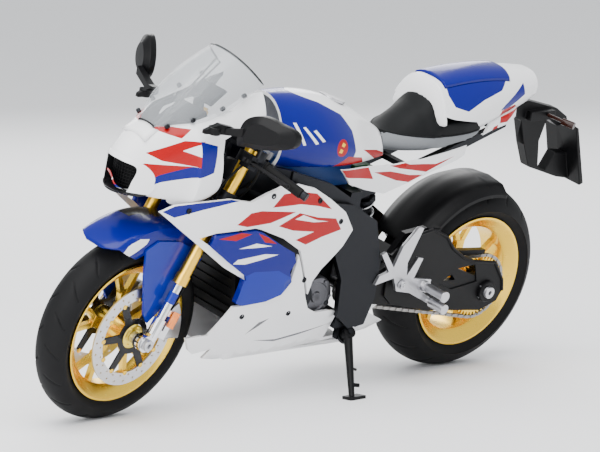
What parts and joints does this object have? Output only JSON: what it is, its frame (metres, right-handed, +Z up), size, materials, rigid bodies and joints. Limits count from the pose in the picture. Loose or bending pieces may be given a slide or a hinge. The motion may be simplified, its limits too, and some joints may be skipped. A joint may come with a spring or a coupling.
{
  "type": "rc motorcycle",
  "caption": "Radio-controlled sport motorcycle with a full fairing, steering fork, sprung swingarm, spoked wheels, chain drive and side stand, leaning on its stand.",
  "frame": {"origin": "bottom centre of the bounding box, on the floor the tyres and side stand touch", "axes": "+X forward along the wheelbase, +Y to the rider's left (the side it leans to), +Z straight up from the floor; the bike leans 16.5 degrees onto its stand"},
  "size_m": [0.2786, 0.1064, 0.146],
  "materials": {
    "battery_wrap": "shrink wrap",
    "black_plastic": "satin black plastic",
    "blue_paint": "gloss blue paint",
    "chrome": "polished",
    "circuit": "green board with black parts",
    "clear_screen": "clear with a slight smoke tint",
    "dark_metal": "satin dark grey paint over cast metal",
    "disc_steel": "brushed, drilled",
    "gold_metal": "gold anodised",
    "red_lens": "translucent red",
    "seat_cover": "matte black cover over foam",
    "silver_metal": "satin silver",
    "soft_rubber": "matte black rubber",
    "spring_steel": "wound wire",
    "tyre_rubber": "matte black rubber",
    "white_paint": "gloss white paint on moulded panels, with red and blue flashes"
  },
  "bodies": {
    "chassis": {"main_frame": "dark_metal", "subframe": "dark_metal", "engine_block": "dark_metal", "engine_covers": "dark_metal", "radiator": "black_plastic", "exhaust": "silver_metal", "fuel_tank": "blue_paint", "fuel_cap": "silver_metal", "seat": "seat_cover", "tail_cowl": "white_paint", "seat_hump": "blue_paint", "tail_lights": "red_lens", "plate_bracket": "black_plastic", "nose_cowl": "white_paint", "windscreen": "clear_screen", "dash": "black_plastic", "intake_duct": "black_plastic", "side_fairing_left": "white_paint", "side_fairing_right": "white_paint", "side_ducts": "blue_paint", "belly_pan": "white_paint", "rearset_plates": "silver_metal", "foot_pegs": "silver_metal", "battery": "battery_wrap", "receiver_board": "circuit", "drive_motor": "silver_metal", "steering_servo": "black_plastic"},
    "steering": {"triple_clamps": "dark_metal", "fork_tubes": "gold_metal", "handlebars": "dark_metal", "grips": "soft_rubber"},
    "clutch_hand_lever": {"clutch_lever": "black_plastic"},
    "brake_hand_lever": {"brake_lever": "black_plastic"},
    "fork_slider": {"fork_legs": "chrome", "front_axle": "silver_metal", "front_calipers": "silver_metal", "front_fender": "blue_paint"},
    "front_wheel": {"front_rim": "gold_metal", "front_tyre": "tyre_rubber", "front_discs": "disc_steel"},
    "rear_arm": {"swingarm": "dark_metal", "rear_hugger": "black_plastic", "rear_axle": "silver_metal", "rear_caliper": "gold_metal", "drive_chain": "silver_metal"},
    "rear_wheel": {"rear_rim": "gold_metal", "rear_tyre": "tyre_rubber", "rear_sprocket": "gold_metal", "rear_disc": "disc_steel"},
    "drive_sprocket": {"front_sprocket": "silver_metal"},
    "shock_upper": {"shock_body": "dark_metal", "shock_spring": "spring_steel"},
    "shock_lower": {"shock_rod": "chrome"},
    "stand": {"side_stand": "dark_metal"},
    "left_mirror": {"mirror_left": "black_plastic"},
    "right_mirror": {"mirror_right": "black_plastic"},
    "shifter": {"shift_lever": "silver_metal"},
    "foot_brake": {"brake_pedal": "silver_metal"},
    "horn": {"servo_horn": "black_plastic"},
    "link": {"steering_link": "silver_metal"}
  },
  "joints": [
    {"name": "steering", "type": "hinge", "parent": "chassis", "child": "steering", "pos_m": [0.06925, -0.00076, 0.09771], "axis": [-0.4067, 0.2595, 0.8759], "range_deg": [-20, 10]},
    {"name": "clutch_lever_pull", "type": "hinge", "parent": "steering", "child": "clutch_hand_lever", "pos_m": [0.0694, 0.02124, 0.10017], "axis": [-0.4067, 0.2595, 0.8759], "range_deg": [0, 10], "stiffness_Nm_per_rad": 0.02, "springref_deg": -17.19},
    {"name": "brake_lever_pull", "type": "hinge", "parent": "steering", "child": "brake_hand_lever", "pos_m": [0.07259, -0.01656, 0.11284], "axis": [0.4067, -0.2595, -0.8759], "range_deg": [0, 10], "stiffness_Nm_per_rad": 0.02, "springref_deg": -17.19},
    {"name": "fork_travel", "type": "slide", "parent": "steering", "child": "fork_slider", "axis": [-0.4067, 0.2595, 0.8759], "range_m": [0, 0.008], "stiffness_N_per_m": 1500, "springref_m": -0.006},
    {"name": "front_wheel_spin", "type": "hinge", "parent": "fork_slider", "child": "front_wheel", "pos_m": [0.10164, -0.01861, 0.03634], "axis": [-0.0796, 0.9451, -0.3169], "continuous": true},
    {"name": "swingarm_travel", "type": "hinge", "parent": "chassis", "child": "rear_arm", "pos_m": [-0.00335, -0.01593, 0.0465], "axis": [0, 0.9588, -0.284], "range_deg": [0, 8], "stiffness_Nm_per_rad": 2, "springref_deg": -20.05, "deforming": ["shock_spring"]},
    {"name": "rear_wheel_spin", "type": "hinge", "parent": "rear_arm", "child": "rear_wheel", "pos_m": [-0.08035, -0.01799, 0.03955], "axis": [0, 0.9588, -0.284], "continuous": true},
    {"name": "drive_sprocket_spin", "type": "hinge", "parent": "chassis", "child": "drive_sprocket", "pos_m": [-0.00335, -0.00154, 0.04224], "axis": [0, 0.9588, -0.284], "continuous": true},
    {"name": "shock_tilt", "type": "hinge", "parent": "chassis", "child": "shock_upper", "pos_m": [-0.01635, -0.00513, 0.08294], "axis": [0, 0.9588, -0.284], "range_deg": [-0.5, 1.76]},
    {"name": "shock_slide", "type": "slide", "parent": "shock_upper", "child": "shock_lower", "axis": [0.2715, 0.2733, 0.9228], "range_m": [0, 0.00354]},
    {"name": "stand_fold", "type": "hinge", "parent": "chassis", "child": "stand", "pos_m": [-0.00285, -0.0014, 0.02301], "axis": [0.1618, 0.8442, 0.511], "range_deg": [0, 100]},
    {"name": "left_mirror_fold", "type": "hinge", "parent": "chassis", "child": "left_mirror", "pos_m": [0.09015, 0.02524, 0.11295], "axis": [0, 0.284, 0.9588], "range_deg": [-8, 30]},
    {"name": "right_mirror_fold", "type": "hinge", "parent": "chassis", "child": "right_mirror", "pos_m": [0.09015, -0.01426, 0.12465], "axis": [0, -0.284, -0.9588], "range_deg": [-8, 30]},
    {"name": "shift_lever_tilt", "type": "hinge", "parent": "chassis", "child": "shifter", "pos_m": [-0.02435, 0.00865, 0.04287], "axis": [0, 0.9588, -0.284], "range_deg": [-6, 2], "stiffness_Nm_per_rad": 0.01},
    {"name": "brake_pedal_press", "type": "hinge", "parent": "chassis", "child": "foot_brake", "pos_m": [-0.02435, -0.03852, 0.05685], "axis": [0, -0.9588, 0.284], "range_deg": [0, 6], "stiffness_Nm_per_rad": 0.02, "springref_deg": -5.73},
    {"name": "servo_horn_turn", "type": "hinge", "parent": "chassis", "child": "horn", "pos_m": [0.04576, -0.00044, 0.0988], "axis": [-0.4067, 0.2595, 0.8759], "range_deg": [-20, 10]},
    {"name": "steering_link_turn", "type": "hinge", "parent": "horn", "child": "link", "pos_m": [0.0378, -0.00113, 0.09874], "axis": [-0.4067, 0.2595, 0.8759], "range_deg": [-10, 20]}
  ],
  "couplings": [
    {"joint": "servo_horn_turn", "follows": "steering", "ratio": 1},
    {"joint": "steering_link_turn", "follows": "steering", "ratio": -1},
    {"joint": "drive_sprocket_spin", "follows": "rear_wheel_spin", "ratio": 2.5},
    {"joint": "shock_tilt", "follows": "swingarm_travel", "ratio": 0.15726},
    {"joint": "shock_slide", "follows": "swingarm_travel", "m_per_rad": 0.02321}
  ]
}
